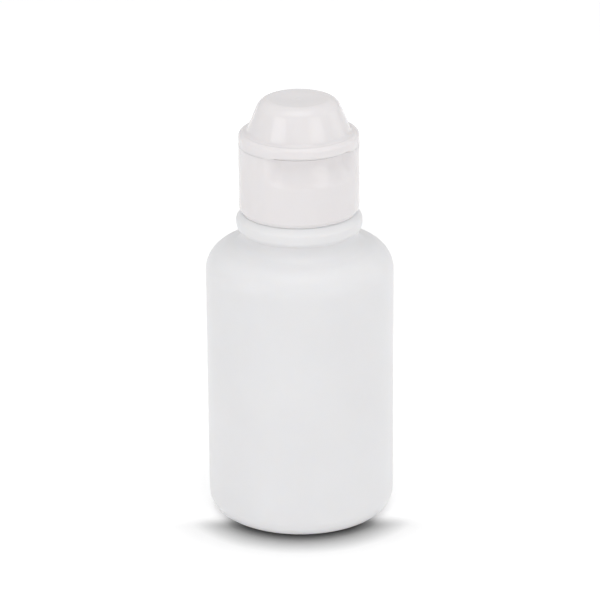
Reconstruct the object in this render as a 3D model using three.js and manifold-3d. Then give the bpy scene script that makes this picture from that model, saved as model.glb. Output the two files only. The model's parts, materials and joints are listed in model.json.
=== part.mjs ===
// A 30 ml squeeze bottle for lens cleaner, with a screw-on flip-top cap.
// Millimetres, +Z up. The origin is on the axis, in the plane that the bottle stands on.
// The thumb recess of the cap faces -Y, and the film hinge of the lid is at +Y.

import * as THREE from 'three';
import { mergeVertices } from 'three/addons/utils/BufferGeometryUtils.js';
import Module from 'manifold-3d';

const wasm = await Module();
wasm.setup();

// Bottle body
const BODY_RADIUS = 16;
const BODY_HEIGHT = 48.8;        // standing plane to the foot of the neck
const BODY_WALL = 1;
const BASE_CORNER = 3.1;         // round edge between the side wall and the base
const BASE_RING = 1.6;           // width of the flat ring that the bottle stands on
const BASE_WALL = 1.2;
const PUSH_UP = 1;               // rise of the hollow under the base
const PUSH_UP_RUN = 1.8;         // width of the slope up to it
const PUSH_UP_ROUND = 0.5;
const SHOULDER_SLOPE = 14.6;     // degrees
const SHOULDER_ROUND = 4.42;     // round edge between the side wall and the shoulder

// Neck of the bottle
const NECK_RADIUS = 7.8;         // at the root of the screw thread
const NECK_WALL = 1.9;
const NECK_HEIGHT = 8;           // bead to rim
const NECK_FOOT_STEP = 1.9;      // how far the foot of the neck stands out from it
const NECK_FOOT_HEIGHT = 1.7;    // shoulder to bead
const NECK_FOOT_ROUND = 1;
const RIM_ROUND = 0.4;
const THREAD_DEPTH = 1;          // how far the screw thread stands out from the neck
const PLAIN_RIM = 1.6;           // stretch below the rim that has no thread
const BEAD_OVERHANG = 0.5;       // how far the bead under the cap stands out from the cap
const BEAD_HEIGHT = 4.1;
const BEAD_ROUND = 1.3;

// Screw base of the cap
const SKIRT_WALL = 1.2;
const SKIRT_LIFT = 0.3;          // bead to the lower edge of the skirt
const SKIRT_EDGE_ROUND = 0.3;
const BORE_STEP = 0.5;           // height of the taper above the threaded bore
const DECK_THICKNESS = 1.2;
const LAND_RISE = 0.9;           // deck to the seat of the lid
const LAND_WIDTH = 2;            // cap wall to the collar inside the lid's rim
const COLLAR_WALL = 0.8;
const COLLAR_HEIGHT = 0.8;       // above the seat of the lid
const SNAP_BEAD = 0.14;          // how far the collar's snap bead stands out

// Thumb recess in the cap
const RECESS_DEPTH = 1.28;
const RECESS_HEIGHT = 4.6;       // from the seat of the lid down
const RECESS_SLOPE = 4;          // height of the hollow round at its foot
const RECESS_OVERCUT = 0.3;      // how far that round runs on past the wall
const RECESS_HALF_ANGLE = 53;    // degrees each side of the front
const RECESS_END_RUN = 19;       // degrees over which each end runs out to the wall

// Flip lid
const LID_WALL = 1;
const LID_RIM_STEP = 0.1;        // how far the rim stands back from the cap wall
const LID_RIM_HEIGHT = 2;
const LID_EDGE_ROUND = 0.6;
const LID_FOOT_ROUND = 0.12;
const LID_NOTCH = 0.45;          // height of the notch in the rim, over the thumb recess
const NOTCH_HALF_ANGLE = 47;     // degrees each side of the front
const LID_HEADROOM = 1.48;       // nozzle tip to the ceiling of the lid
const LEDGE_WIDTH = 1.24;
const CONE_ANGLE = 22.6;         // degrees from upright
const CONE_TOP_ROUND = 2.4;
const TOP_RING = 0.56;           // width of the flat ring round the hollow in the top
const DISH_DEPTH = 0.3;          // of that hollow
const PIN_CLEARANCE = 0.28;      // sealing pin to the mouth of the nozzle
const PIN_TIP_RADIUS = 0.4;

// Nozzle
const PLUG_WALL = 0.9;
const PLUG_LENGTH = 5.4;         // below the flange
const PLUG_TIP_TAPER = 0.4;
const PLUG_TIP_LENGTH = 0.8;
const PLUG_ROOF_RISE = 1.2;      // slope from the bore of the plug up to that of the spout
const FLANGE_INSET = 0.2;        // neck wall to the edge of the flange
const FLANGE_THICKNESS = 0.8;
const HUB_RADIUS = 3.3;          // where the nozzle passes through the deck
const LATCH_OVERLAP = 0.3;       // how far the latch bead reaches out over the deck
const LATCH_HEIGHT = 0.9;
const LATCH_EDGE = 0.25;         // upright edge of the latch bead
const SPOUT_HEIGHT = 6;          // deck to tip
const SPOUT_WALL = 0.9;
const SPOUT_FOOT_RADIUS = 2.1;
const SPOUT_TIP_RADIUS = 1.75;
const SPOUT_ROUND = 0.28;
const ORIFICE_RADIUS = 0.55;
const ORIFICE_LENGTH = 1.2;
const MOUTH_RADIUS = 1.4;        // flare at the tip that takes the sealing pin
const MOUTH_DEPTH = 1;

// Film hinge
const FILM_THICKNESS = 0.3;
const FILM_WIDTH = 6.4;
const FILM_LEG = 1.2;            // from the axis into the cap and into the lid
const HINGE_OFFSET = 0.25;       // cap wall to the hinge axis

// Clearances
const SEAT_GAP = 0.3;            // pieces that rest on or pass through each other
const SEAM_GAP = 0.12;           // lid to its seat
const FILM_CLEARANCE = 0.15;     // film to its pockets
const THREAD_CLEARANCE = 0.2;    // crest of the thread to the bore of the skirt

// Facets
const ROUND_SIDES = 48;
const NOZZLE_SIDES = 30;
const ARC_STEP = THREE.MathUtils.degToRad(19);
const DISH_STEPS = 3;
const RECESS_STEPS = 8;
const RECESS_SLOPE_STEPS = 5;
const FILM_STEPS = 6;

// Levels along the axis, from the standing plane up
const BEAD_BOTTOM = BODY_HEIGHT + NECK_FOOT_HEIGHT;
const BEAD_TOP = BEAD_BOTTOM + BEAD_HEIGHT;
const NECK_TOP = BEAD_TOP + NECK_HEIGHT;
const SKIRT_BOTTOM = BEAD_TOP + SKIRT_LIFT;
const FLANGE_BOTTOM = NECK_TOP + SEAT_GAP;
const FLANGE_TOP = FLANGE_BOTTOM + FLANGE_THICKNESS;
const DECK_BOTTOM = FLANGE_TOP + SEAT_GAP;
const DECK_TOP = DECK_BOTTOM + DECK_THICKNESS;
const LAND = DECK_TOP + LAND_RISE;
const LID_BOTTOM = LAND + SEAM_GAP;
const LID_LEDGE = LID_BOTTOM + LID_RIM_HEIGHT;
const SPOUT_TOP = DECK_TOP + SPOUT_HEIGHT;
const LID_CEILING = SPOUT_TOP + LID_HEADROOM;
const LID_TOP = LID_CEILING + LID_WALL + DISH_DEPTH;

// Radii and places that several pieces share
const BORE_RADIUS = NECK_RADIUS - NECK_WALL;
const THREAD_BORE = NECK_RADIUS + THREAD_DEPTH + THREAD_CLEARANCE;
const CAP_RADIUS = THREAD_BORE + SKIRT_WALL;
const COLLAR_RADIUS = CAP_RADIUS - LAND_WIDTH;
const DECK_HOLE = HUB_RADIUS + SEAT_GAP;
const HINGE_Y = CAP_RADIUS + HINGE_OFFSET;
const HINGE_Z = LAND + SEAM_GAP / 2;
const FILM_INNER = SEAM_GAP / 2;
const FILM_OUTER = FILM_INNER + FILM_THICKNESS;
const FILM_END_Y = HINGE_Y - FILM_LEG;

const degrees = THREE.MathUtils.degToRad;
const FRONT = -Math.PI / 2;      // angle of the middle of the thumb recess

// A point on a circle round the axis, at an angle from the front
function atFront(radius, angle) {
  return [radius * Math.cos(FRONT + angle), radius * Math.sin(FRONT + angle)];
}

// Points of an outline whose corners are [x, y] or [x, y, radius of the round].
// A closed outline rounds its first corner too.
function outline(corners, closed) {
  const points = [];
  corners.forEach(([x, y, round = 0], i) => {
    const here = new THREE.Vector2(x, y);
    const isEnd = !closed && (i === 0 || i === corners.length - 1);
    if (round === 0 || isEnd) {
      points.push(here);
      return;
    }
    const before = corners[(i + corners.length - 1) % corners.length];
    const after = corners[(i + 1) % corners.length];
    const back = new THREE.Vector2(before[0] - x, before[1] - y).normalize();
    const ahead = new THREE.Vector2(after[0] - x, after[1] - y).normalize();
    const half = Math.acos(THREE.MathUtils.clamp(back.dot(ahead), -1, 1)) / 2;
    const toCentre = back.clone().add(ahead).setLength(round / Math.sin(half));
    const centre = here.clone().add(toCentre);
    const first = here.clone().addScaledVector(back, round / Math.tan(half)).sub(centre);
    const turn = (Math.PI - 2 * half) * Math.sign(ahead.cross(back));
    const steps = Math.max(2, Math.ceil(Math.abs(turn) / ARC_STEP));
    for (let k = 0; k <= steps; k += 1) {
      const spoke = first.clone().rotateAround(new THREE.Vector2(), turn * k / steps);
      points.push(spoke.add(centre));
    }
  });
  return points;
}

// Keeps the positions only, joins equal corners and drops triangles that have no area.
function weld(geometry) {
  geometry.deleteAttribute('normal');
  geometry.deleteAttribute('uv');
  const merged = mergeVertices(geometry, 1e-5);
  const index = merged.index.array;
  const kept = [];
  for (let i = 0; i < index.length; i += 3) {
    const [a, b, c] = [index[i], index[i + 1], index[i + 2]];
    if (a !== b && b !== c && c !== a) {
      kept.push(a, b, c);
    }
  }
  merged.setIndex(kept);
  return merged;
}

// Turns a half section, [radius, height] corners, about the Z axis.
// A closed section runs anticlockwise, with the radius to the right and the height up.
function revolve(corners, sides, closed) {
  const points = outline(corners, closed);
  if (closed) {
    points.push(points[0].clone());
  }
  return weld(new THREE.LatheGeometry(points, sides).rotateX(Math.PI / 2));
}

function toSolid(geometry) {
  const vertProperties = new Float32Array(geometry.attributes.position.array);
  const triVerts = new Uint32Array(geometry.index.array);
  return new wasm.Manifold(new wasm.Mesh({ numProp: 3, vertProperties, triVerts }));
}

function toGeometry(solid) {
  const mesh = solid.getMesh();
  const geometry = new THREE.BufferGeometry();
  geometry.setAttribute('position', new THREE.BufferAttribute(mesh.vertProperties, 3));
  geometry.setIndex(new THREE.BufferAttribute(mesh.triVerts, 1));
  geometry.computeVertexNormals();
  return geometry;
}

function subtract(geometry, cutters) {
  const solid = cutters.reduce((rest, cutter) => rest.subtract(toSolid(cutter)), toSolid(geometry));
  return toGeometry(solid);
}

// A box given by its lowest and highest corners
function block(low, high) {
  const size = high.map((value, i) => value - low[i]);
  const centre = high.map((value, i) => (value + low[i]) / 2);
  return weld(new THREE.BoxGeometry(...size).translate(...centre));
}

// The blow-moulded bottle: one wall from the pushed-up base to the rim of the neck.
function bottleGeometry() {
  const slope = Math.tan(degrees(SHOULDER_SLOPE));
  const ringOuter = BODY_RADIUS - BASE_CORNER;
  const ringInner = ringOuter - BASE_RING;
  const hollow = ringInner - PUSH_UP_RUN;
  const inside = BODY_RADIUS - BODY_WALL;
  const foot = NECK_RADIUS + NECK_FOOT_STEP;
  const bead = CAP_RADIUS + BEAD_OVERHANG;
  const shoulderEdge = BODY_HEIGHT - (BODY_RADIUS - foot) * slope;
  const shoulderDrop = BODY_WALL / Math.cos(degrees(SHOULDER_SLOPE));
  const insideShoulder = (radius) => BODY_HEIGHT + (foot - radius) * slope - shoulderDrop;
  return revolve([
    [0, PUSH_UP],
    [hollow, PUSH_UP, PUSH_UP_ROUND],
    [ringInner, 0],
    [BODY_RADIUS, 0, BASE_CORNER],
    [BODY_RADIUS, shoulderEdge, SHOULDER_ROUND],
    [foot, BODY_HEIGHT, NECK_FOOT_ROUND],
    [foot, BEAD_BOTTOM],
    [bead, BEAD_BOTTOM, BEAD_ROUND],
    [bead, BEAD_TOP, BEAD_ROUND],
    [NECK_RADIUS, BEAD_TOP],
    [NECK_RADIUS, NECK_TOP, RIM_ROUND],
    [BORE_RADIUS, NECK_TOP, RIM_ROUND],
    [BORE_RADIUS, insideShoulder(BORE_RADIUS), BODY_WALL],
    [inside, insideShoulder(inside), SHOULDER_ROUND - BODY_WALL],
    [inside, BASE_WALL, BASE_CORNER - BODY_WALL],
    [ringInner, BASE_WALL],
    [hollow, PUSH_UP + BASE_WALL],
    [0, PUSH_UP + BASE_WALL],
  ], ROUND_SIDES, false);
}

// The soft nozzle: a plug in the neck, a flange on its rim, and a spout through the deck of the cap.
function nozzleGeometry() {
  const plugRadius = BORE_RADIUS - SEAT_GAP;
  const plugBore = plugRadius - PLUG_WALL;
  const plugBottom = FLANGE_BOTTOM - PLUG_LENGTH;
  const flange = NECK_RADIUS - FLANGE_INSET;
  const latch = DECK_HOLE + LATCH_OVERLAP;
  const latchBottom = DECK_TOP + SEAT_GAP;
  const latchTop = latchBottom + LATCH_HEIGHT;
  const mouthBottom = SPOUT_TOP - MOUTH_DEPTH;
  const orificeBottom = mouthBottom - ORIFICE_LENGTH;
  const spoutBore = HUB_RADIUS - SPOUT_WALL;
  return revolve([
    [plugBore, plugBottom],
    [plugRadius - PLUG_TIP_TAPER, plugBottom],
    [plugRadius, plugBottom + PLUG_TIP_LENGTH],
    [plugRadius, FLANGE_BOTTOM],
    [flange, FLANGE_BOTTOM],
    [flange, FLANGE_TOP],
    [HUB_RADIUS, FLANGE_TOP],
    [HUB_RADIUS, latchBottom],
    [latch, latchBottom],
    [latch, latchBottom + LATCH_EDGE],
    [SPOUT_FOOT_RADIUS, latchTop, SPOUT_ROUND],
    [SPOUT_TIP_RADIUS, SPOUT_TOP, SPOUT_ROUND],
    [MOUTH_RADIUS, SPOUT_TOP],
    [ORIFICE_RADIUS, mouthBottom],
    [ORIFICE_RADIUS, orificeBottom],
    [spoutBore, FLANGE_BOTTOM],
    [plugBore, FLANGE_BOTTOM - PLUG_ROOF_RISE],
  ], NOZZLE_SIDES, true);
}

// The hollow that the thumb lifts the lid from: a crescent in plan, with a round foot and run-out ends.
function recessCutter() {
  const back = CAP_RADIUS - RECESS_DEPTH;
  const runOut = CAP_RADIUS + RECESS_DEPTH;
  const outside = 2 * CAP_RADIUS;
  const slopeWidth = RECESS_DEPTH + RECESS_OVERCUT;
  const flat = degrees(RECESS_HALF_ANGLE - RECESS_END_RUN);
  const half = degrees(RECESS_HALF_ANGLE);
  const shape = new THREE.Shape();
  shape.moveTo(...atFront(back, -flat));
  shape.absarc(0, 0, back, FRONT - flat, FRONT + flat, false);
  shape.quadraticCurveTo(...atFront(back, half), ...atFront(runOut, half));
  shape.lineTo(...atFront(outside, half));
  shape.lineTo(...atFront(outside, -half));
  shape.lineTo(...atFront(runOut, -half));
  shape.quadraticCurveTo(...atFront(back, -half), ...atFront(back, -flat));
  const bottom = LAND - RECESS_HEIGHT;
  const crescent = new THREE.ExtrudeGeometry(shape, {
    depth: RECESS_HEIGHT,
    curveSegments: RECESS_STEPS,
    bevelThickness: RECESS_SLOPE,
    bevelSize: slopeWidth,
    bevelOffset: -slopeWidth,
    bevelSegments: RECESS_SLOPE_STEPS,
  });
  return weld(crescent.translate(0, 0, bottom + RECESS_SLOPE));
}

// The notch in the lid's rim, over the recess, that the thumb gets under: a wedge from the axis out.
function notchCutter() {
  const outside = 2 * CAP_RADIUS;
  const half = degrees(NOTCH_HALF_ANGLE);
  const wedge = new THREE.Shape();
  wedge.moveTo(0, 0);
  wedge.lineTo(...atFront(outside, -half));
  wedge.lineTo(...atFront(outside, half));
  const depth = LID_BOTTOM + LID_NOTCH - LAND;
  const cut = new THREE.ExtrudeGeometry(wedge, { depth, bevelEnabled: false });
  return weld(cut.translate(0, 0, LAND));
}

// The pocket that one leg of the hinge film lies in, between two heights.
function filmPocket(low, high) {
  const halfWidth = FILM_WIDTH / 2 + FILM_CLEARANCE;
  const inner = FILM_END_Y - FILM_CLEARANCE;
  const outer = HINGE_Y + FILM_LEG;
  return block([-halfWidth, inner, low], [halfWidth, outer, high]);
}

// The screw base of the cap: skirt, deck round the nozzle, seat and collar of the lid.
function capBaseGeometry() {
  const threadTop = NECK_TOP - PLAIN_RIM - BORE_STEP;
  const rimBore = NECK_RADIUS + SEAT_GAP;
  const collarInner = COLLAR_RADIUS - COLLAR_WALL;
  const collarTop = LAND + COLLAR_HEIGHT;
  const beadHeight = LAND + COLLAR_HEIGHT / 2;
  const body = revolve([
    [THREAD_BORE, SKIRT_BOTTOM],
    [CAP_RADIUS, SKIRT_BOTTOM, SKIRT_EDGE_ROUND],
    [CAP_RADIUS, LAND],
    [COLLAR_RADIUS, LAND],
    [COLLAR_RADIUS + SNAP_BEAD, beadHeight],
    [COLLAR_RADIUS, collarTop],
    [collarInner, collarTop],
    [collarInner, DECK_TOP],
    [DECK_HOLE, DECK_TOP],
    [DECK_HOLE, DECK_BOTTOM],
    [rimBore, DECK_BOTTOM],
    [rimBore, threadTop + BORE_STEP],
    [THREAD_BORE, threadTop],
  ], ROUND_SIDES, true);
  const pocketFloor = HINGE_Z - FILM_OUTER - FILM_CLEARANCE;
  return subtract(body, [recessCutter(), filmPocket(pocketFloor, LID_BOTTOM)]);
}

// The flip lid: notched rim, ledge and hollow cone, with the pin that seals the nozzle.
function lidGeometry() {
  const rim = CAP_RADIUS - LID_RIM_STEP;
  const bore = COLLAR_RADIUS + SNAP_BEAD + SEAT_GAP;
  const rimCeiling = LID_LEDGE - LID_WALL;
  const slope = Math.tan(degrees(CONE_ANGLE));
  const wallAcross = LID_WALL / Math.cos(degrees(CONE_ANGLE));
  const outerCone = (height) => rim - LEDGE_WIDTH - (height - LID_LEDGE) * slope;
  const innerCone = (height) => outerCone(height) - wallAcross;
  const roundRun = CONE_TOP_ROUND * Math.tan(degrees(90 - CONE_ANGLE) / 2);
  const dish = outerCone(LID_TOP) - roundRun - TOP_RING;
  const dishCorners = Array.from({ length: DISH_STEPS + 1 }, (_, k) => {
    const share = 1 - k / DISH_STEPS;
    return [dish * share, LID_TOP - DISH_DEPTH * (1 - share * share)];
  });
  const pinSlope = (MOUTH_RADIUS - ORIFICE_RADIUS) / MOUTH_DEPTH;
  const pinRadius = (height) => MOUTH_RADIUS - PIN_CLEARANCE - (SPOUT_TOP - height) * pinSlope;
  const pinTip = SPOUT_TOP - (MOUTH_RADIUS - PIN_CLEARANCE - PIN_TIP_RADIUS) / pinSlope;
  const pinShoulder = SPOUT_TOP + SEAT_GAP;
  const body = revolve([
    [0, pinTip],
    [PIN_TIP_RADIUS, pinTip],
    [pinRadius(pinShoulder), pinShoulder],
    [pinRadius(pinShoulder), LID_CEILING],
    [innerCone(LID_CEILING), LID_CEILING, CONE_TOP_ROUND - LID_WALL],
    [Math.min(bore, innerCone(rimCeiling)), rimCeiling],
    [bore, rimCeiling],
    [bore, LID_BOTTOM],
    [rim, LID_BOTTOM, LID_FOOT_ROUND],
    [rim, LID_LEDGE, LID_EDGE_ROUND],
    [outerCone(LID_LEDGE), LID_LEDGE],
    [outerCone(LID_TOP), LID_TOP, CONE_TOP_ROUND],
    ...dishCorners,
  ], ROUND_SIDES, false);
  const pocketCeiling = HINGE_Z + FILM_OUTER + FILM_CLEARANCE;
  return subtract(body, [filmPocket(LAND, pocketCeiling), notchCutter()]);
}

// The living hinge: a thin film, folded like a hairpin while the lid is shut.
function filmGeometry() {
  const section = new THREE.Shape();
  section.moveTo(FILM_END_Y, HINGE_Z - FILM_OUTER);
  section.lineTo(HINGE_Y, HINGE_Z - FILM_OUTER);
  section.absarc(HINGE_Y, HINGE_Z, FILM_OUTER, -Math.PI / 2, Math.PI / 2, false);
  section.lineTo(FILM_END_Y, HINGE_Z + FILM_OUTER);
  section.lineTo(FILM_END_Y, HINGE_Z + FILM_INNER);
  section.absarc(HINGE_Y, HINGE_Z, FILM_INNER, Math.PI / 2, -Math.PI / 2, true);
  section.lineTo(FILM_END_Y, HINGE_Z - FILM_INNER);
  const strip = new THREE.ExtrudeGeometry(section, {
    depth: FILM_WIDTH,
    curveSegments: FILM_STEPS,
    bevelEnabled: false,
  });
  strip.translate(0, 0, -FILM_WIDTH / 2);
  strip.rotateX(Math.PI / 2).rotateZ(Math.PI / 2);
  return weld(strip);
}

function piece(name, geometry, material) {
  geometry.computeVertexNormals();
  const mesh = new THREE.Mesh(geometry, material);
  mesh.name = name;
  return mesh;
}

const bottlePlastic = new THREE.MeshStandardMaterial({ color: 0xe9e8e6, roughness: 0.42, metalness: 0 });
const capPlastic = new THREE.MeshStandardMaterial({ color: 0xeae8e7, roughness: 0.3, metalness: 0 });
const nozzlePlastic = new THREE.MeshStandardMaterial({ color: 0xe4e5e4, roughness: 0.48, metalness: 0 });

// The lid hangs in a group whose origin is on the hinge axis, so turning the group opens it.
const lidMesh = piece('flip_lid', lidGeometry(), capPlastic);
lidMesh.position.set(0, -HINGE_Y, -HINGE_Z);
const lid = new THREE.Group();
lid.position.set(0, HINGE_Y, HINGE_Z);
lid.add(lidMesh);

const cap = new THREE.Group();
cap.add(piece('cap_base', capBaseGeometry(), capPlastic));
cap.add(piece('living_hinge', filmGeometry(), capPlastic));
cap.add(lid);

// What lifts off together when the cap is unscrewed
const closure = new THREE.Group();
closure.add(piece('nozzle_insert', nozzleGeometry(), nozzlePlastic));
closure.add(cap);

const lensCleanerBottle = new THREE.Group();
lensCleanerBottle.add(piece('bottle', bottleGeometry(), bottlePlastic));
lensCleanerBottle.add(closure);

export default lensCleanerBottle;
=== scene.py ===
# A 30 ml lens cleaner bottle with a screw-on flip-top cap.
# Fine meshes, plastics, studio light and camera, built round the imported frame.
# Sizes are in millimetres unless a comment says metres, and become metres where an object is made.

import cmath
import json
import math

import bpy
import numpy as np
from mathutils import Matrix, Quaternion, Vector


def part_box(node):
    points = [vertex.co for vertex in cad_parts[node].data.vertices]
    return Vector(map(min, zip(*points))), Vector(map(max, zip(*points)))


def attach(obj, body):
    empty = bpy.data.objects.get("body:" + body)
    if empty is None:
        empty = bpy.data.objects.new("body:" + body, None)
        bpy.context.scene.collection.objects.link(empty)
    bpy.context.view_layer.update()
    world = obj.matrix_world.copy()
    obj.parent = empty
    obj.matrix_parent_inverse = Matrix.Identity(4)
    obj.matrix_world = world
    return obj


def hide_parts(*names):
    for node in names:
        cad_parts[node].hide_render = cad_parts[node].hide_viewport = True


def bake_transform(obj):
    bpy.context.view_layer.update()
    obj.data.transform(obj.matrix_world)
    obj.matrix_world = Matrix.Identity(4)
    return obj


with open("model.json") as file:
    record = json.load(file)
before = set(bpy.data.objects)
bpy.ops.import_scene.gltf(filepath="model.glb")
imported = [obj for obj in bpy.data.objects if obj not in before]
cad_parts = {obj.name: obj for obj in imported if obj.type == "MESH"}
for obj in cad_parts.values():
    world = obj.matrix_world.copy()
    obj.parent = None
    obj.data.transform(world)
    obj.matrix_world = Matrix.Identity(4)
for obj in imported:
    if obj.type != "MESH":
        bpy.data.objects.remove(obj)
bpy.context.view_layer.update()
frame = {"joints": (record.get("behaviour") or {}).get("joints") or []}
MM = 0.001


def box_mm(node):
    """Lowest and highest corner of a node, in millimetres."""
    low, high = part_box(node)
    return low / MM, high / MM


_, bottle_high = box_mm("bottle")
_, cap_high = box_mm("cap_base")
lid_low, lid_high = box_mm("flip_lid")
nozzle_low, nozzle_high = box_mm("nozzle_insert")
_, film_high = box_mm("living_hinge")
joints = {joint["name"]: joint for joint in frame["joints"]}
HINGE = Vector(joints["lid_hinge"]["pos_m"]) / MM
CAP_LIFT_MM = joints["cap_lift"]["range_m"][1] / MM
CAP_TURNS = joints["cap_turn"]["range_deg"][1] / 360

# Fineness of the meshes
ARC_CHORD = 0.16
LEAST_ARC_STEPS = 4
EDGE_ROW = 0.2               # first row of a straight stretch beside a round
WIDE_ROW = 3
THREAD_ROW = 0.14
RECESS_ROW = 0.1
PINCH_ROW = 0.35
DISH_ROW = 0.175
NOTCH_ROW = 0.05
BOTTLE_COLUMNS = 144
CAP_COLUMNS = 120
LID_COLUMNS = 144
NOZZLE_COLUMNS = 72
SEAM_COLUMNS = 13
RECESS_COLUMNS = 213
RECESS_MARGIN = math.radians(6)  # how far its close columns go past each end
NOTCH_COLUMNS = 27
NOTCH_ZONE = math.radians(13)    # half width of the close columns round each end
FILM_COLUMNS = 20
FILM_STEPS = 16
BAND_MARGIN = 0.1            # slack round a surface that gets closer rows
ON_SURFACE = 0.05            # a point nearer than this to a surface lies on it
HEIGHT_SLACK = 0.001
NEAR_ZERO = 1e-6

# Bottle body
BODY_RADIUS = bottle_high.x
BODY_HEIGHT = 48.8           # standing plane to the foot of the neck
BODY_WALL = 1
BASE_CORNER = 3.1
BASE_RING = 1.6              # width of the flat ring that the bottle stands on
BASE_WALL = 1.2
PUSH_UP = 1                  # rise of the hollow under the base
PUSH_UP_RUN = 1.8
PUSH_UP_ROUND = 0.5
RING_ROUND = 0.4             # inner edge of the ring, and the same edges inside the bottle
RING_INNER = BODY_RADIUS - BASE_CORNER - BASE_RING
HOLLOW = RING_INNER - PUSH_UP_RUN    # radius of the level part of the hollow
SHOULDER_SLOPE = math.radians(14.6)
SHOULDER_ROUND = 4.42

# Seams that the two halves of the blow mould leave, in the plane square to the camera
SEAM_ANGLE = math.radians(-17)
SEAM_HEIGHT = 0.035
SEAM_WIDTH = 0.3
PINCH_HEIGHT = 0.4           # ridge across the hollow under the base
PINCH_WIDTH = 0.9
PINCH_LENGTH = 15

# Neck, and the bead round its foot
NECK_RADIUS = 7.8
NECK_WALL = 1.9
NECK_BORE = NECK_RADIUS - NECK_WALL
NECK_BORE_ROUND = 1          # lower end of the bore
NECK_FOOT = 9.8              # radius of the neck below its bead
NECK_FOOT_ROUND = 2.4
NECK_ROOT_ROUND = 0.2        # where the neck leaves the top of the bead
NECK_TOP = bottle_high.z
NECK_LIP_ROUND = 0.4
BEAD_RADIUS = 10.7
BEAD_BOTTOM = 50.9           # where its slanting underside leaves the neck
BEAD_FOOT_ROUND = 0.3
BEAD_UNDERSIDE = 0.5         # height of that underside
BEAD_ROUND = 1
BEAD_TOP = 54.3
BEAD_CROWN = 9.85            # radius at which its top turns flat, under the edge of the skirt
BEAD_CROWN_ROUND = 0.3
BEAD_CROWN_DROP = 1.2        # from that edge to the side of the bead
BEAD_SIDE_ROUND = 0.8

# Screw thread
THREAD_PITCH = CAP_LIFT_MM / CAP_TURNS
THREAD_DEPTH = 1
THREAD_ROOT = 1.6            # width of the ridge where it leaves the wall
THREAD_CREST = 0.6
THREAD_START = 56.3          # height of the ridge's middle where it begins
THREAD_TURNS = 1.15
THREAD_RUN = math.radians(30)    # over which each end of the ridge rises
THREAD_LOW = THREAD_START - THREAD_ROOT
THREAD_HIGH = THREAD_START + THREAD_TURNS * THREAD_PITCH + THREAD_ROOT
CAP_THREAD_CREST = 8.1       # radius that the ridge inside the cap reaches in to
CAP_THREAD_TURNS = 1

# Screw base of the cap
CAP_RADIUS = cap_high.x
SKIRT_SEAM = 0.01            # bead to the lower edge of the skirt
SKIRT_BOTTOM = BEAD_TOP + SKIRT_SEAM
SKIRT_WALL = 1.2
SKIRT_FOOT_IN = 0.35         # how far its lower edge is drawn in
SKIRT_FOOT_RISE = 0.7        # height over which it is
SKIRT_FOOT_ROUND = 0.4
SKIRT_FOOT_EDGE = 0.1
THREAD_BORE = CAP_RADIUS - SKIRT_WALL
RIM_BORE = 8.1               # radius above the thread, round the rim of the neck
RIM_BORE_BOTTOM = 61
BORE_STEP = 0.5              # height of the slant between the two bores
BORE_ROUND = 0.2
THREAD_TOP = RIM_BORE_BOTTOM - BORE_STEP
COLLAR_TOP = cap_high.z
COLLAR_HEIGHT = 0.8          # above the seat of the lid
COLLAR_WALL = 0.8
COLLAR_RADIUS = 8.2
COLLAR_INNER = COLLAR_RADIUS - COLLAR_WALL
COLLAR_EDGE = 0.12
COLLAR_ROOT = 0.08
SNAP_BEAD = 0.14
LAND = COLLAR_TOP - COLLAR_HEIGHT    # height of the lid's seat
DECK_DROP = 0.9              # from that seat to the deck
DECK_TOP = LAND - DECK_DROP
DECK_THICKNESS = 1.2
DECK_HOLE = 3.6
DECK_EDGE = 0.12
DECK_CORNER = 0.3

# Thumb recess
RECESS_FRONT = -math.pi / 2  # angle of its middle
RECESS_DEPTH = 1.28
RECESS_HEIGHT = 5
RECESS_LOW = LAND - RECESS_HEIGHT - 2 * RECESS_ROW
RECESS_HALF = math.radians(53)
RECESS_END_RUN = 3.2         # over which each end runs out to the wall
RECESS_BROW = 0.25           # how far its upper edge is rounded down
RECESS_BROW_HEIGHT = 1.3     # stretch of the wall under that edge that is drawn down with it

# Flip lid
LID_RADIUS = lid_high.x
LID_RIM = CAP_RADIUS - 0.03  # radius of the rim, almost flush with the cap wall
LID_TOP = lid_high.z
LID_SEAM = 0.005             # lid to its seat
SEAM_EDGE = 0.008            # round of the two edges beside it
LID_BOTTOM = LAND + LID_SEAM
LID_LEDGE = lid_low.z + 2    # height of the ledge on top of the rim
LID_WALL = 1
LID_BORE = 8.64
LID_BORE_EDGE = 0.12
LID_BORE_ROUND = 0.1
LID_INNER_ROUND = 0.3
RIM_CEILING = LID_LEDGE - LID_WALL
LEDGE_WIDTH = 1.24
LEDGE_ROUND = 0.75
CONE_SLOPE = math.radians(22.6)
CONE_ACROSS = LID_WALL / math.cos(CONE_SLOPE)    # its wall, measured level
CONE_FOOT_ROUND = 0.7
CONE_TOP_ROUND = 2.4
TOP_RING = 0.56              # flat ring round the hollow in the top
DISH_DEPTH = 0.12
LID_CEILING = LID_TOP - DISH_DEPTH - LID_WALL
GATE_RADIUS = 0.5            # mark of the injection gate in that hollow
GATE_HEIGHT = 0.02
GATE_STEEPNESS = 3           # its edge takes one part in this many of its radius

# Notch in the rim of the lid, over the thumb recess
NOTCH_HEIGHT = 0.5
NOTCH_FOOT = 0.2             # stretch above the seat that rises by that whole height
NOTCH_DEPTH = 0.75           # from the face of the rim in
NOTCH_BACK = 0.15            # slant of its back
NOTCH_HALF = math.radians(40)
NOTCH_END = 3                # width of each end of it

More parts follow.
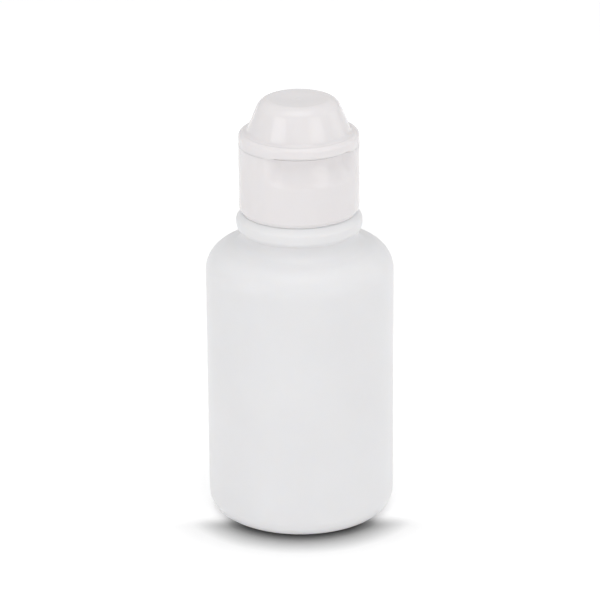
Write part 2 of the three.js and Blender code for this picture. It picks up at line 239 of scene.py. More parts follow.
# Nozzle
SPOUT_TOP = nozzle_high.z
SPOUT_FOOT = 2.1
SPOUT_FOOT_ROUND = 0.28
SPOUT_TIP = 1.75
SPOUT_TIP_ROUND = 0.16
MOUTH_RADIUS = 1.4
MOUTH_DEPTH = 1
MOUTH_EDGE = 0.05
ORIFICE_RADIUS = 0.55
ORIFICE_LENGTH = 1.2
ORIFICE_ROUND = 0.1
PLUG_BOTTOM = nozzle_low.z
PLUG_RADIUS = 5.6
PLUG_BORE = 4.7
PLUG_LEAD = 0.4              # how far its lower end is drawn in
PLUG_LEAD_HEIGHT = 0.8
FLANGE_RADIUS = max(nozzle_high.x, nozzle_high.y)
FLANGE_BOTTOM = 62.9
FLANGE_TOP = 63.7
FUNNEL_HEIGHT = 1.2          # from the bore of the plug to that of the hub
HUB_RADIUS = 3.3
HUB_BORE = 2.4
HUB_ROUND = 0.1
LATCH_RADIUS = 3.9
LATCH_BOTTOM = DECK_TOP + 0.3
LATCH_EDGE = 0.25
LATCH_HEIGHT = 0.9
LATCH_ROUND = 0.06
NOZZLE_EDGE = 0.15
NOZZLE_CORNER = 0.3

# Pin in the lid, which seals the mouth of the nozzle
PIN_CLEARANCE = 0.28
PIN_RISE = 0.3               # its shoulder above the spout
PIN_ROUND = 0.3
PIN_TIP = 0.4
PIN_TIP_ROUND = 0.15

# Film hinge
FILM_OUTER = film_high.z - HINGE.z   # radius of the fold
FILM_INNER = 0.08
FILM_HALF_WIDTH = film_high.x
FILM_LEG = 0.9               # from the axis into the cap and into the lid
FILM_EDGE = 0.06

# Plastics
NOISE_SPAN = (0.3, 0.7)          # most of a noise lies between these
SCATTER_TINT = (1, 0.9, 0.8)     # red light travels furthest inside the plastic

# Light of the studio, where 1 is white
SKY_LOW = 0.6
SKY_HIGH = 0.72
SKY_RISE = (0.3, 0.8)            # sine of the elevations between which it grows

# Name, azimuth from the camera, elevation, distance, width, height and brightness, in degrees and metres
SOFTBOXES = [
    ("softbox_left", -50, 15, 0.6, 0.34, 0.3, 1.5),
    ("softbox_right", 45, 15, 0.6, 0.34, 0.3, 1.25),
    ("softbox_side", 105, 15, 0.6, 0.3, 0.3, 0.6),
    ("softbox_top", 0, 74, 0.6, 0.45, 0.45, 1.3),
]

# Floor, with its colour where it is bare, and where its painted shade is half and full
FLOOR_RADIUS = 6000
FLOOR_SIDES = 64
FLOOR_DROP = 0.02            # below the standing ring
FLOOR_PALE = 0.98
FLOOR_MIDDLE = 0.29
FLOOR_DARK = 0.08

# Painted shade of the bottle on the floor, and the glow of the floor, in metres and degrees
SHADE_FRONT = (0.004, 0.012)     # it sets in between these distances ahead of the axis
SHADE_REACH = 0.006
SHADE_TILT = 50
SHADE_SAMPLES = 16
# The glow stays out of the painted shade near the front of the bottle
GLOW = 0.22
GLOW_EDGE = (0.018, 0.032)       # distance from the axis where the glow sets in

# Camera, fitted to the outline in the photograph
IMAGE_SIZE = 600
FOCAL_PIXELS = 3173.07
SENSOR = 36
CLIP_START = 0.01            # metres
VIEW_AZIMUTH = -17           # degrees, from the middle of the recess
VIEW_ELEVATION = 21.11
VIEW_ROLL = -0.43
VIEW_DISTANCE = 542.9
VIEW_TARGET = Vector((0, 0, 37.82))


def rounded(corners):
    """Points of a half section that runs anticlockwise, as complex numbers, radius + height * 1j.
    A corner is (radius, height, round), or (radius, height) where it stays sharp."""
    places = [complex(corner[0], corner[1]) for corner in corners]
    points = []
    for i, here in enumerate(places):
        if len(corners[i]) == 2:
            points.append(here)
            continue
        size = corners[i][2]
        back = places[i - 1] - here
        ahead = places[(i + 1) % len(places)] - here
        back /= abs(back)
        ahead /= abs(ahead)
        half = abs(cmath.phase(ahead / back)) / 2
        middle = (back + ahead) / abs(back + ahead)
        centre = here + middle * size / math.sin(half)
        spoke = here + back * size / math.tan(half) - centre
        turn = math.copysign(math.pi - 2 * half, cmath.phase(back / ahead))
        steps = max(LEAST_ARC_STEPS, math.ceil(size * abs(turn) / ARC_CHORD))
        points += [centre + spoke * cmath.exp(1j * turn * k / steps) for k in range(steps + 1)]
    return points


def spaced(points, closed=False, bands=()):
    """Adds rows on straight stretches: one beside each round, and closer ones inside the bands.
    A band is (lowest height, highest height, least radius, most radius, spacing)."""
    ends = points[1:] + points[:1] if closed else points[1:]
    rows = []
    for here, after in zip(points, ends):
        length = abs(after - here)
        middle = (here + after) / 2
        step = WIDE_ROW
        for low, high, least, most, spacing in bands:
            if low <= middle.imag <= high and least <= middle.real <= most:
                step = spacing
        count = max(1, math.ceil(length / step))
        shares = {k / count for k in range(count)}
        if length / count > 2 * EDGE_ROW:
            shares |= {EDGE_ROW / length, 1 - EDGE_ROW / length}
        rows += [here + (after - here) * share for share in sorted(shares)]
    if not closed:
        rows.append(points[-1])
    return rows


def wrapped(angle):
    """Angles brought to between -pi and pi."""
    return (angle + math.pi) % (2 * math.pi) - math.pi


def round_angles(count, zones=()):
    """Angles of the columns round the axis: even ones, and closer ones inside the zones.
    A zone is (middle, half width, number of columns)."""
    even = np.arange(count) * 2 * math.pi / count
    parts = []
    for middle, half, columns in zones:
        even = even[np.abs(wrapped(even - middle)) > half + math.pi / count]
        parts.append(np.linspace(middle - half, middle + half, columns))
    return np.sort(np.concatenate([even, *parts]) % (2 * math.pi))


def grid(rows, angles):
    """Radii and heights of every point of a turned piece, one line for each row."""
    radii = np.array([[row.real] for row in rows]) * np.ones(len(angles))
    heights = np.array([[row.imag] for row in rows]) * np.ones(len(angles))
    return radii, heights


def smooth(share):
    """Smooth step from 0 to 1."""
    share = np.clip(share, 0, 1)
    return share * share * (3 - 2 * share)


def new_piece(name, vertices, faces):
    """A smooth mesh object from points in millimetres."""
    mesh = bpy.data.meshes.new(name)
    mesh.from_pydata((np.asarray(vertices) * MM).tolist(), [], faces)
    mesh.shade_smooth()
    piece = bpy.data.objects.new(name, mesh)
    bpy.context.scene.collection.objects.link(piece)
    return piece


def turned_piece(name, radii, heights, angles, closed=False):
    """A mesh of rows turned round the Z axis. A row that lies on the axis becomes one point."""
    vertices = []
    rings = []
    for row_radii, row_heights in zip(radii, heights):
        first = len(vertices)
        x = row_radii * np.cos(angles)
        y = row_radii * np.sin(angles)
        on_axis = row_radii.max() == 0
        points = np.column_stack([x, y, row_heights])
        vertices += list(points[:1] if on_axis else points)
        rings.append([first if on_axis else first + k for k in range(len(angles))])
    if closed:
        rings.append(rings[0])
    faces = []
    for low, high in zip(rings, rings[1:]):
        for k in range(len(angles)):
            after = (k + 1) % len(angles)
            corners = [low[k], low[after], high[after], high[k]]
            faces.append(list(dict.fromkeys(corners)))
    return new_piece(name, vertices, faces)


def thread_ridge(angles, heights, start, turns):
    """Share of the thread's full height at each point, for a right-hand thread that begins at angle 0."""
    ridge = np.zeros_like(heights)
    for lap in range(math.ceil(turns) + 1):
        along = wrapped(angles) + 2 * math.pi * lap
        away = np.abs(heights - start - THREAD_PITCH * along / (2 * math.pi))
        flank = smooth((THREAD_ROOT / 2 - away) / (THREAD_ROOT / 2 - THREAD_CREST / 2))
        rise = smooth(along / THREAD_RUN) * smooth((2 * math.pi * turns - along) / THREAD_RUN)
        ridge = np.maximum(ridge, flank * rise)
    return ridge


def bottle_section():
    """Half section of the bottle: up the outside from the middle of the base, and down the inside."""
    slope = math.tan(SHOULDER_SLOPE)
    drop = BODY_WALL / math.cos(SHOULDER_SLOPE)
    inside = BODY_RADIUS - BODY_WALL
    shoulder_edge = BODY_HEIGHT - (BODY_RADIUS - NECK_FOOT) * slope
    inside_edge = BODY_HEIGHT - (inside - NECK_FOOT) * slope - drop
    inside_neck = BODY_HEIGHT + (NECK_FOOT - NECK_BORE) * slope - drop
    return rounded([
        (0, PUSH_UP),
        (HOLLOW, PUSH_UP, PUSH_UP_ROUND),
        (RING_INNER, 0, RING_ROUND),
        (BODY_RADIUS, 0, BASE_CORNER),
        (BODY_RADIUS, shoulder_edge, SHOULDER_ROUND),
        (NECK_FOOT, BODY_HEIGHT, NECK_FOOT_ROUND),
        (NECK_FOOT, BEAD_BOTTOM, BEAD_FOOT_ROUND),
        (BEAD_RADIUS, BEAD_BOTTOM + BEAD_UNDERSIDE, BEAD_ROUND),
        (BEAD_RADIUS, BEAD_TOP - BEAD_CROWN_DROP, BEAD_SIDE_ROUND),
        (BEAD_CROWN, BEAD_TOP, BEAD_CROWN_ROUND),
        (NECK_RADIUS, BEAD_TOP, NECK_ROOT_ROUND),
        (NECK_RADIUS, THREAD_LOW),
        (NECK_RADIUS, THREAD_HIGH),
        (NECK_RADIUS, NECK_TOP, NECK_LIP_ROUND),
        (NECK_BORE, NECK_TOP, NECK_LIP_ROUND),
        (NECK_BORE, inside_neck, NECK_BORE_ROUND),
        (inside, inside_edge, SHOULDER_ROUND - BODY_WALL),
        (inside, BASE_WALL, BASE_CORNER - BODY_WALL),
        (RING_INNER, BASE_WALL, RING_ROUND),
        (HOLLOW, PUSH_UP + BASE_WALL, RING_ROUND),
        (0, PUSH_UP + BASE_WALL),
    ])


def bottle_piece():
    """The blow-moulded bottle, with its screw thread, mould seams and pinch-off ridge."""
    rows = spaced(bottle_section(), bands=[
        (THREAD_LOW, THREAD_HIGH, NECK_RADIUS - BAND_MARGIN, BEAD_RADIUS, THREAD_ROW),
        (0, PUSH_UP, 0, HOLLOW, PINCH_ROW),
    ])
    seam_zone = 2 * SEAM_WIDTH / BODY_RADIUS
    seams = [SEAM_ANGLE, SEAM_ANGLE + math.pi]
    angles = round_angles(BOTTLE_COLUMNS, [(seam, seam_zone, SEAM_COLUMNS) for seam in seams])
    radii, heights = grid(rows, angles)
    outer = slice(0, int(heights[:, 0].argmax()))

    from_seam = radii * np.sin(angles - SEAM_ANGLE)
    seam_rise = smooth((heights - BASE_CORNER) / BASE_CORNER)
    seam = SEAM_HEIGHT * np.exp(-(2 * from_seam / SEAM_WIDTH) ** 2) * seam_rise
    along_pinch = np.abs(radii * np.cos(angles - SEAM_ANGLE))
    pinch_fade = smooth((PINCH_LENGTH / 2 - along_pinch) / PINCH_WIDTH)
    pinch = PINCH_HEIGHT * np.exp(-(2 * from_seam / PINCH_WIDTH) ** 2) * pinch_fade
    thread = THREAD_DEPTH * thread_ridge(angles, heights, THREAD_START, THREAD_TURNS)
    on_neck = heights > BEAD_TOP
    under_base = (heights <= PUSH_UP) & (radii < HOLLOW)
    radii[outer] += np.where(on_neck, thread, seam)[outer]
    heights[outer] -= np.where(under_base, pinch, 0)[outer]
    return turned_piece("bottle_moulding", radii, heights, angles)


def recess_depth(angles, heights):
    """How deep the thumb recess is cut into the cap wall: a long scoop over a soft lip.
    Its slope is greatest a third of the way up."""
    climb = np.clip(1 - (LAND - heights) / RECESS_HEIGHT, 0, 1)
    scoop = climb ** 2 * (6 - 8 * climb + 3 * climb ** 2)
    from_end = (RECESS_HALF - np.abs(wrapped(angles - RECESS_FRONT))) * CAP_RADIUS
    return RECESS_DEPTH * scoop * smooth(from_end / RECESS_END_RUN)


def cap_base_section():
    """Half section of the screw base: up the outside of the skirt, over the collar and deck, and back."""
    return rounded([
        (THREAD_BORE, SKIRT_BOTTOM, BORE_ROUND),
        (CAP_RADIUS - SKIRT_FOOT_IN, SKIRT_BOTTOM, SKIRT_FOOT_EDGE),
        (CAP_RADIUS, SKIRT_BOTTOM + SKIRT_FOOT_RISE, SKIRT_FOOT_ROUND),
        (CAP_RADIUS, RECESS_LOW),
        (CAP_RADIUS, LAND, SEAM_EDGE),
        (COLLAR_RADIUS, LAND, COLLAR_ROOT),
        (COLLAR_RADIUS + SNAP_BEAD, (LAND + COLLAR_TOP) / 2, COLLAR_EDGE),
        (COLLAR_RADIUS, COLLAR_TOP, COLLAR_EDGE),
        (COLLAR_INNER, COLLAR_TOP, COLLAR_EDGE),
        (COLLAR_INNER, DECK_TOP, DECK_CORNER),
        (DECK_HOLE, DECK_TOP, DECK_EDGE),
        (DECK_HOLE, DECK_TOP - DECK_THICKNESS, DECK_EDGE),
        (RIM_BORE, DECK_TOP - DECK_THICKNESS, DECK_CORNER),
        (RIM_BORE, RIM_BORE_BOTTOM, BORE_ROUND),
        (THREAD_BORE, THREAD_TOP, BORE_ROUND),
    ])


def cap_base_piece():
    """The screw base of the cap: skirt with its thumb recess, deck, and collar of the lid."""
    rows = spaced(cap_base_section(), closed=True, bands=[
        (RECESS_LOW, LAND, CAP_RADIUS - BAND_MARGIN, CAP_RADIUS, RECESS_ROW),
        (LAND - BAND_MARGIN, LAND, COLLAR_RADIUS, CAP_RADIUS, RECESS_ROW),
        (SKIRT_BOTTOM, THREAD_TOP, RIM_BORE, THREAD_BORE + BAND_MARGIN, THREAD_ROW),
    ])
    zone = (RECESS_FRONT, RECESS_HALF + RECESS_MARGIN, RECESS_COLUMNS)
    angles = round_angles(CAP_COLUMNS, [zone])
    radii, heights = grid(rows, angles)

    ridge = thread_ridge(angles - math.pi, heights, THREAD_START, CAP_THREAD_TURNS)
    in_bore = (heights < THREAD_TOP) & (np.abs(radii - THREAD_BORE) < ON_SURFACE)
    radii -= np.where(in_bore, ridge * (THREAD_BORE - CAP_THREAD_CREST), 0)
    wall_share = (radii - COLLAR_RADIUS) / (CAP_RADIUS - COLLAR_RADIUS)
    outside = (radii > COLLAR_RADIUS) & (heights > RECESS_LOW) & (heights <= LAND + HEIGHT_SLACK)
    depth = np.where(outside, recess_depth(angles, heights), 0)
    radii -= wall_share * depth
    near_edge = smooth((heights - LAND) / RECESS_BROW_HEIGHT + 1) * smooth(2 * wall_share - 1)
    heights -= RECESS_BROW * near_edge * depth / RECESS_DEPTH
    return turned_piece("cap_base_moulding", radii, heights, angles, closed=True)


def cone_radius(height):
    """Radius of the outside of the lid's cone."""
    return LID_RADIUS - LEDGE_WIDTH - (height - LID_LEDGE) * math.tan(CONE_SLOPE)


def dish_radius():
    """Radius of the hollow in the top of the lid."""
    round_run = CONE_TOP_ROUND * math.tan((math.pi / 2 - CONE_SLOPE) / 2)
    return cone_radius(LID_TOP) - round_run - TOP_RING


def lid_section():
    """Half section of the lid: from the tip of the pin out along the inside, and up the outside."""
    pin_slope = (MOUTH_RADIUS - ORIFICE_RADIUS) / MOUTH_DEPTH
    pin_shoulder = SPOUT_TOP + PIN_RISE
    pin_radius = MOUTH_RADIUS - PIN_CLEARANCE + (pin_shoulder - SPOUT_TOP) * pin_slope
    pin_tip = pin_shoulder - (pin_radius - PIN_TIP) / pin_slope
    return rounded([
        (0, pin_tip),
        (PIN_TIP, pin_tip, PIN_TIP_ROUND),
        (pin_radius, pin_shoulder, PIN_ROUND),
        (pin_radius, LID_CEILING, LID_INNER_ROUND),
        (cone_radius(LID_CEILING) - CONE_ACROSS, LID_CEILING, CONE_TOP_ROUND - LID_WALL),
        (cone_radius(RIM_CEILING) - CONE_ACROSS, RIM_CEILING, LID_INNER_ROUND),
        (LID_BORE, RIM_CEILING, LID_BORE_ROUND),
        (LID_BORE, LID_BOTTOM, LID_BORE_EDGE),
        (LID_RIM, LID_BOTTOM, SEAM_EDGE),
        (LID_RIM, LID_LEDGE, LEDGE_ROUND),
        (cone_radius(LID_LEDGE), LID_LEDGE, CONE_FOOT_ROUND),
        (cone_radius(LID_TOP), LID_TOP, CONE_TOP_ROUND),
        (dish_radius(), LID_TOP),
        (0, LID_TOP),
    ])


def notch_rise(radii, heights, angles):
    """How far the notch over the thumb recess lifts each point of the lid's rim."""
    from_end = (NOTCH_HALF - np.abs(wrapped(angles - RECESS_FRONT))) * LID_RIM
    foot = (RIM_CEILING - heights) / (RIM_CEILING - LID_BOTTOM - NOTCH_FOOT)
    on_rim = (radii > cone_radius(LID_LEDGE) - CONE_ACROSS) & (heights < RIM_CEILING)
    across_rim = smooth((radii - LID_RIM + NOTCH_DEPTH) / NOTCH_BACK)
    rise = NOTCH_HEIGHT * smooth(from_end / NOTCH_END + 0.5) * np.clip(foot, 0, 1) * across_rim
    return np.where(on_rim, rise, 0)


def lid_piece():
    """The flip lid: rim, ledge and hollow cone with a dished top, and the pin that seals the nozzle."""
    dish = dish_radius()
    rows = spaced(lid_section(), bands=[
        (LID_TOP - BAND_MARGIN, LID_TOP, 0, dish, DISH_ROW),
        (LID_BOTTOM, LID_BOTTOM + SEAM_EDGE, LID_BORE, LID_RIM, NOTCH_ROW),
    ])
    ends = [RECESS_FRONT - NOTCH_HALF, RECESS_FRONT + NOTCH_HALF]
    angles = round_angles(LID_COLUMNS, [(end, NOTCH_ZONE, NOTCH_COLUMNS) for end in ends])
    radii, heights = grid(rows, angles)
    heights += notch_rise(radii, heights, angles)
    on_top = heights > LID_TOP - ON_SURFACE
    sink = DISH_DEPTH * smooth(1 - radii / dish)
    gate = GATE_HEIGHT * smooth((GATE_RADIUS - radii) / GATE_RADIUS * GATE_STEEPNESS)
    heights -= np.where(on_top & (radii < dish), sink - gate, 0)
    return turned_piece("flip_lid_moulding", radii, heights, angles)


def nozzle_piece():
    """The soft nozzle: a plug in the neck, a flange on its rim, and a spout through the deck."""
    mouth_bottom = SPOUT_TOP - MOUTH_DEPTH
    latch_top = LATCH_BOTTOM + LATCH_HEIGHT
    points = rounded([
        (PLUG_BORE, PLUG_BOTTOM, NOZZLE_EDGE),
        (PLUG_RADIUS - PLUG_LEAD, PLUG_BOTTOM, NOZZLE_EDGE),
        (PLUG_RADIUS, PLUG_BOTTOM + PLUG_LEAD_HEIGHT, NOZZLE_CORNER),
        (PLUG_RADIUS, FLANGE_BOTTOM, NOZZLE_EDGE),
        (FLANGE_RADIUS, FLANGE_BOTTOM, NOZZLE_EDGE),
        (FLANGE_RADIUS, FLANGE_TOP, NOZZLE_EDGE),
        (HUB_RADIUS, FLANGE_TOP, HUB_ROUND),
        (HUB_RADIUS, LATCH_BOTTOM, HUB_ROUND),
        (LATCH_RADIUS, LATCH_BOTTOM, LATCH_ROUND),
        (LATCH_RADIUS, LATCH_BOTTOM + LATCH_EDGE, LATCH_ROUND),
        (SPOUT_FOOT, latch_top, SPOUT_FOOT_ROUND),
        (SPOUT_TIP, SPOUT_TOP, SPOUT_TIP_ROUND),
        (MOUTH_RADIUS, SPOUT_TOP, MOUTH_EDGE),
        (ORIFICE_RADIUS, mouth_bottom, ORIFICE_ROUND),
        (ORIFICE_RADIUS, mouth_bottom - ORIFICE_LENGTH, ORIFICE_ROUND),
        (HUB_BORE, FLANGE_BOTTOM, NOZZLE_CORNER),
        (PLUG_BORE, FLANGE_BOTTOM - FUNNEL_HEIGHT, NOZZLE_CORNER),
    ])
    rows = spaced(points, closed=True)
    angles = round_angles(NOZZLE_COLUMNS)
    radii, heights = grid(rows, angles)
    return turned_piece("nozzle_moulding", radii, heights, angles, closed=True)


def film_section():
    """Closed outline of the folded film, as (distance along Y, height) from the hinge axis."""
    turns = [math.pi * (k / FILM_STEPS - 0.5) for k in range(FILM_STEPS + 1)]
    outer = [(FILM_OUTER * math.cos(t), FILM_OUTER * math.sin(t)) for t in turns]
    inner = [(FILM_INNER * math.cos(t), FILM_INNER * math.sin(t)) for t in reversed(turns)]
    upper = [(-FILM_LEG, FILM_OUTER), (-FILM_LEG, FILM_INNER)]
    lower = [(-FILM_LEG, -FILM_INNER), (-FILM_LEG, -FILM_OUTER)]
    return outer + upper + inner + lower


def film_piece():
    """The film hinge: a strip that is folded like a hairpin while the lid is shut."""
    section = film_section()
    middle = (FILM_INNER + FILM_OUTER) / 2
    across = np.linspace(-1, 1, FILM_COLUMNS) * (FILM_HALF_WIDTH - FILM_EDGE)
    columns = [-FILM_HALF_WIDTH, *across, FILM_HALF_WIDTH]
    vertices = []
    for x in columns:
        thinning = FILM_EDGE if abs(x) == FILM_HALF_WIDTH else 0
        for y, z in section:
            away = max(math.hypot(max(y, 0), z), NEAR_ZERO)
            pulled = away + math.copysign(thinning, middle - away)
            out = y * pulled / away if y > 0 else y
            vertices.append((x, HINGE.y + out, HINGE.z + z * pulled / away))
    count = len(section)
    faces = []
    for column in range(len(columns) - 1):
        near = column * count
        far = near + count
        for k in range(count):
            after = (k + 1) % count
            faces.append([near + k, near + after, far + after, far + k])
    faces.append(list(reversed(range(count))))
    faces.append(list(range(len(vertices) - count, len(vertices))))
    return new_piece("hinge_film", vertices, faces)


def new_material(name):
    """A material with its node tree and its shader."""
    material = bpy.data.materials.new(name)
    material.use_nodes = True
    tree = material.node_tree
    return material, tree, tree.nodes["Principled BSDF"]


def add_noise(tree, scale, stretch=(1, 1, 1), detail=2):
    """Value of a noise, in features per metre, stretched along the axes of the piece."""
    coordinates = tree.nodes.new("ShaderNodeTexCoord")
    mapping = tree.nodes.new("ShaderNodeMapping")
    mapping.inputs["Scale"].default_value = stretch
    noise = tree.nodes.new("ShaderNodeTexNoise")
    noise.inputs["Scale"].default_value = scale
    noise.inputs["Detail"].default_value = detail
    tree.links.new(coordinates.outputs["Object"], mapping.inputs["Vector"])
    tree.links.new(mapping.outputs["Vector"], noise.inputs["Vector"])
    return noise.outputs["Fac"]


def add_colours(tree, value, dark, pale, target):
    """Runs a noise through two close colours into a shader socket."""
    ramp = tree.nodes.new("ShaderNodeValToRGB")
    for stop, position, colour in zip(ramp.color_ramp.elements, NOISE_SPAN, (dark, pale)):
        stop.position = position
        stop.color = (*colour, 1)
    tree.links.new(value, ramp.inputs["Fac"])
    tree.links.new(ramp.outputs["Color"], target)


def add_range(tree, value, low, high, target):
    """Spreads a noise over a range and runs it into a shader socket."""
    spread = tree.nodes.new("ShaderNodeMapRange")
    spread.inputs["From Min"].default_value = NOISE_SPAN[0]
    spread.inputs["From Max"].default_value = NOISE_SPAN[1]
    spread.inputs["To Min"].default_value = low
    spread.inputs["To Max"].default_value = high
    tree.links.new(value, spread.inputs["Value"])
    tree.links.new(spread.outputs["Result"], target)


def add_step(tree, value, edges, low, high):
    """A smooth step from low to high as a value crosses its edges. High is a number or a socket."""
    step = tree.nodes.new("ShaderNodeMapRange")
    step.interpolation_type = "SMOOTHSTEP"
    step.inputs["From Min"].default_value = edges[0]
    step.inputs["From Max"].default_value = edges[1]
    step.inputs["To Min"].default_value = low
    tree.links.new(value, step.inputs["Value"])
    if isinstance(high, (int, float)):
        step.inputs["To Max"].default_value = high
    else:
        tree.links.new(high, step.inputs["To Max"])
    return step.outputs["Result"]


def add_seen(tree):
    """1 for what the camera sees, straight or in a reflection or through glass, and 0 for light."""
    path = tree.nodes.new("ShaderNodeLightPath")
    seen = path.outputs["Is Camera Ray"]
    for ray in ("Is Glossy Ray", "Is Transmission Ray"):
        either = tree.nodes.new("ShaderNodeMath")
        either.operation = "MAXIMUM"
        tree.links.new(seen, either.inputs[0])
        tree.links.new(path.outputs[ray], either.inputs[1])
        seen = either.outputs["Value"]
    return seen


def add_bumps(tree, shader, layers):
    """Stacks bumps on the shader's normal. Each layer is (value, height in metres)."""
    below = None
    for value, height in layers:
        bump = tree.nodes.new("ShaderNodeBump")
        bump.inputs["Strength"].default_value = 1
        bump.inputs["Distance"].default_value = height
        tree.links.new(value, bump.inputs["Height"])
        if below is not None:
            tree.links.new(below, bump.inputs["Normal"])
        below = bump.outputs["Normal"]
    tree.links.new(below, shader.inputs["Normal"])


def set_translucent(shader, weight, depth):
    """Light that enters the plastic and comes out nearby, over a depth in metres."""
    shader.inputs["Subsurface Weight"].default_value = weight
    shader.inputs["Subsurface Radius"].default_value = SCATTER_TINT
    shader.inputs["Subsurface Scale"].default_value = depth


def bottle_plastic():
    """Satin HDPE: a soft ripple, faint upright lines from the die, and slight clouding."""
    material, tree, shader = new_material("bottle_plastic")
    dark = (0.807, 0.803, 0.812)
    pale = (0.828, 0.824, 0.833)
    clouds = add_noise(tree, 70, detail=3)
    lines = add_noise(tree, 500, stretch=(1, 1, 0.02), detail=3)
    ripple = add_noise(tree, 260, detail=1)
    grain = add_noise(tree, 5200, detail=2)
    add_colours(tree, clouds, dark, pale, shader.inputs["Base Color"])
    add_range(tree, lines, 0.29, 0.36, shader.inputs["Roughness"])
    add_bumps(tree, shader, [(ripple, 0.00003), (lines, 0.000012), (grain, 0.000003)])
    shader.inputs["IOR"].default_value = 1.5
    shader.inputs["Specular IOR Level"].default_value = 0.3
    set_translucent(shader, weight=0.5, depth=0.0012)
    return material


def cap_plastic():
    """Semi-gloss PP: smooth, with faint flow marks and a trace of warm colour."""
    material, tree, shader = new_material("cap_plastic")
    dark = (0.805, 0.777, 0.783)
    pale = (0.825, 0.799, 0.804)
    flow = add_noise(tree, 130, stretch=(1, 1, 0.35), detail=3)
    peel = add_noise(tree, 650, detail=2)
    grain = add_noise(tree, 7000, detail=2)
    add_colours(tree, flow, dark, pale, shader.inputs["Base Color"])
    add_range(tree, peel, 0.05, 0.09, shader.inputs["Roughness"])
    add_bumps(tree, shader, [(peel, 0.000006), (grain, 0.0000012)])
    shader.inputs["IOR"].default_value = 1.49
    set_translucent(shader, weight=0.4, depth=0.0008)
    return material


def nozzle_plastic():
    """Soft LDPE: milky, with a matt skin."""
    material, tree, shader = new_material("nozzle_plastic")
    dark = (0.78, 0.79, 0.79)
    pale = (0.82, 0.83, 0.825)
    clouds = add_noise(tree, 260, detail=3)
    grain = add_noise(tree, 4200, detail=3)
    add_colours(tree, clouds, dark, pale, shader.inputs["Base Color"])
    add_range(tree, grain, 0.42, 0.54, shader.inputs["Roughness"])
    add_bumps(tree, shader, [(clouds, 0.00001), (grain, 0.000004)])
    shader.inputs["IOR"].default_value = 1.51
    set_translucent(shader, weight=0.5, depth=0.0014)
    return material


def finish_piece(piece, node, body, material):
    """Gives a piece its plastic and its body, and hides the node that it stands for."""
    piece.data.materials.append(material)
    if body:
        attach(piece, body)
    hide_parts(node)


def build_bottle():
    """Makes the five pieces. The film gets no body, and the others one body each."""
    cap_material = cap_plastic()
    finish_piece(bottle_piece(), "bottle", "bottle", bottle_plastic())
    finish_piece(nozzle_piece(), "nozzle_insert", "nozzle", nozzle_plastic())
    finish_piece(cap_base_piece(), "cap_base", "cap", cap_material)
    finish_piece(lid_piece(), "flip_lid", "lid", cap_material)
    film = film_piece()
    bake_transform(film)
    finish_piece(film, "living_hinge", None, cap_material)


def direction(azimuth, elevation):
    """Unit vector from the object, with azimuth 0 at -Y and 90 at +X, in degrees."""
    a, e = math.radians(azimuth), math.radians(elevation)
    return Vector((math.sin(a) * math.cos(e), -math.cos(a) * math.cos(e), math.sin(e)))


def aim(thing, target, roll=0):
    """Points a lamp or the camera at a place, with a roll in degrees."""
    turn = (target - thing.location).to_track_quat("-Z", "Y")
    thing.rotation_mode = "QUATERNION"
    thing.rotation_quaternion = turn @ Quaternion((0, 0, 1), math.radians(roll))


def add_camera():
    """The camera, where the photograph was taken from."""
    data = bpy.data.cameras.new("camera")
    data.sensor_width = SENSOR
    data.lens = SENSOR * FOCAL_PIXELS / IMAGE_SIZE
    data.clip_start = CLIP_START
    camera = bpy.data.objects.new("camera", data)
    target = VIEW_TARGET * MM
    camera.location = target + direction(VIEW_AZIMUTH, VIEW_ELEVATION) * VIEW_DISTANCE * MM
    aim(camera, target, VIEW_ROLL)
    bpy.context.scene.collection.objects.link(camera)
    bpy.context.scene.camera = camera


def add_softbox(name, azimuth, elevation, distance, width, height, brightness):
    """A rectangular lamp that faces the bottle. Azimuth is from the camera, and sizes are metres.
    Its face looks as bright as a floor of that brightness, where 1 is white."""
    data = bpy.data.lights.new(name, "AREA")
    data.shape = "RECTANGLE"
    data.size = width
    data.size_y = height
    data.energy = brightness * math.pi * width * height
    lamp = bpy.data.objects.new(name, data)
    target = VIEW_TARGET * MM
    lamp.location = target + direction(VIEW_AZIMUTH + azimuth, elevation) * distance
    aim(lamp, target)
    lamp.visible_camera = False
    bpy.context.scene.collection.objects.link(lamp)


def add_world():
    """Even studio fill, a little stronger from above."""
    world = bpy.data.worlds.new("studio")
    world.use_nodes = True
    tree = world.node_tree
    coordinates = tree.nodes.new("ShaderNodeTexCoord")
    split = tree.nodes.new("ShaderNodeSeparateXYZ")
    background = tree.nodes["Background"]
    tree.links.new(coordinates.outputs["Generated"], split.inputs["Vector"])
    strength = add_step(tree, split.outputs["Z"], SKY_RISE, SKY_LOW, SKY_HIGH)
    tree.links.new(strength, background.inputs["Strength"])
    background.inputs["Color"].default_value = (1, 1, 1, 1)
    bpy.context.scene.world = world


def grey(level):
    """An opaque grey."""
    return (level, level, level, 1)


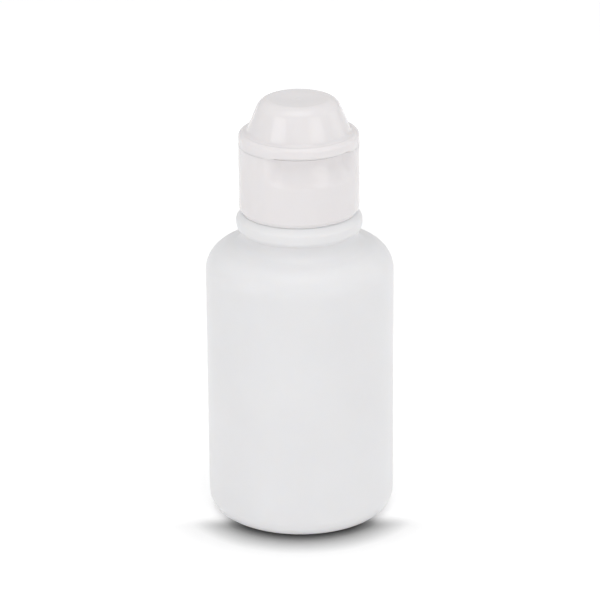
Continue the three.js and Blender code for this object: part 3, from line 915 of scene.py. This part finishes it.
def add_painted_floor_shade(tree, front):
    """Colour of the floor: pale, with a painted shade where the front of the bottle meets it."""
    # Painted shade: occlusion, tilted to the back, darkens the floor's own colour in front of the bottle.
    corner = tree.nodes.new("ShaderNodeAmbientOcclusion")
    corner.samples = SHADE_SAMPLES
    corner.inputs["Distance"].default_value = SHADE_REACH
    corner.inputs["Normal"].default_value = direction(VIEW_AZIMUTH + 180, SHADE_TILT)
    shade = add_step(tree, front, (0, 1), 1, corner.outputs["AO"])
    ramp = tree.nodes.new("ShaderNodeValToRGB")
    ramp.color_ramp.elements[0].color = grey(FLOOR_DARK)
    ramp.color_ramp.elements[1].color = grey(FLOOR_PALE)
    ramp.color_ramp.elements.new(0.5).color = grey(FLOOR_MIDDLE)
    tree.links.new(shade, ramp.inputs["Fac"])
    return ramp.outputs["Color"]


def floor_paper():
    """White paper, with a painted shade where the front of the bottle meets it.
    To the camera and to reflections it glows a little, and less inside that painted shade."""
    material, tree, shader = new_material("floor_paper")
    shader.inputs["Roughness"].default_value = 0.9
    shader.inputs["Specular IOR Level"].default_value = 0.1
    shader.inputs["Emission Color"].default_value = grey(1)
    seen = add_seen(tree)
    position = tree.nodes.new("ShaderNodeNewGeometry").outputs["Position"]
    ahead = tree.nodes.new("ShaderNodeVectorMath")
    ahead.operation = "DOT_PRODUCT"
    ahead.inputs[1].default_value = direction(VIEW_AZIMUTH, 0)
    away = tree.nodes.new("ShaderNodeVectorMath")
    away.operation = "LENGTH"
    tree.links.new(position, ahead.inputs[0])
    tree.links.new(position, away.inputs[0])
    # Painted shade, ahead of the bottle only and only where the camera looks
    front = add_step(tree, ahead.outputs["Value"], SHADE_FRONT, 0, seen)
    tree.links.new(add_painted_floor_shade(tree, front), shader.inputs["Base Color"])

    # The glow is held back inside the painted shade
    near = add_step(tree, away.outputs["Value"], GLOW_EDGE, 0, GLOW)
    lit = add_step(tree, front, (0, 1), GLOW, near)
    glow = add_step(tree, seen, (0, 1), 0, lit)
    tree.links.new(glow, shader.inputs["Emission Strength"])
    return material


def add_floor():
    """A wide round floor just under the standing ring."""
    angles = np.arange(FLOOR_SIDES) * 2 * math.pi / FLOOR_SIDES
    x = FLOOR_RADIUS * np.cos(angles)
    y = FLOOR_RADIUS * np.sin(angles)
    points = np.column_stack([x, y, np.full(FLOOR_SIDES, -FLOOR_DROP)])
    floor = new_piece("floor", points, [list(range(FLOOR_SIDES))])
    floor.data.materials.append(floor_paper())


build_bottle()
add_camera()
add_world()
for softbox in SOFTBOXES:
    add_softbox(*softbox)
add_floor()
bpy.context.scene.view_settings.view_transform = "Standard"
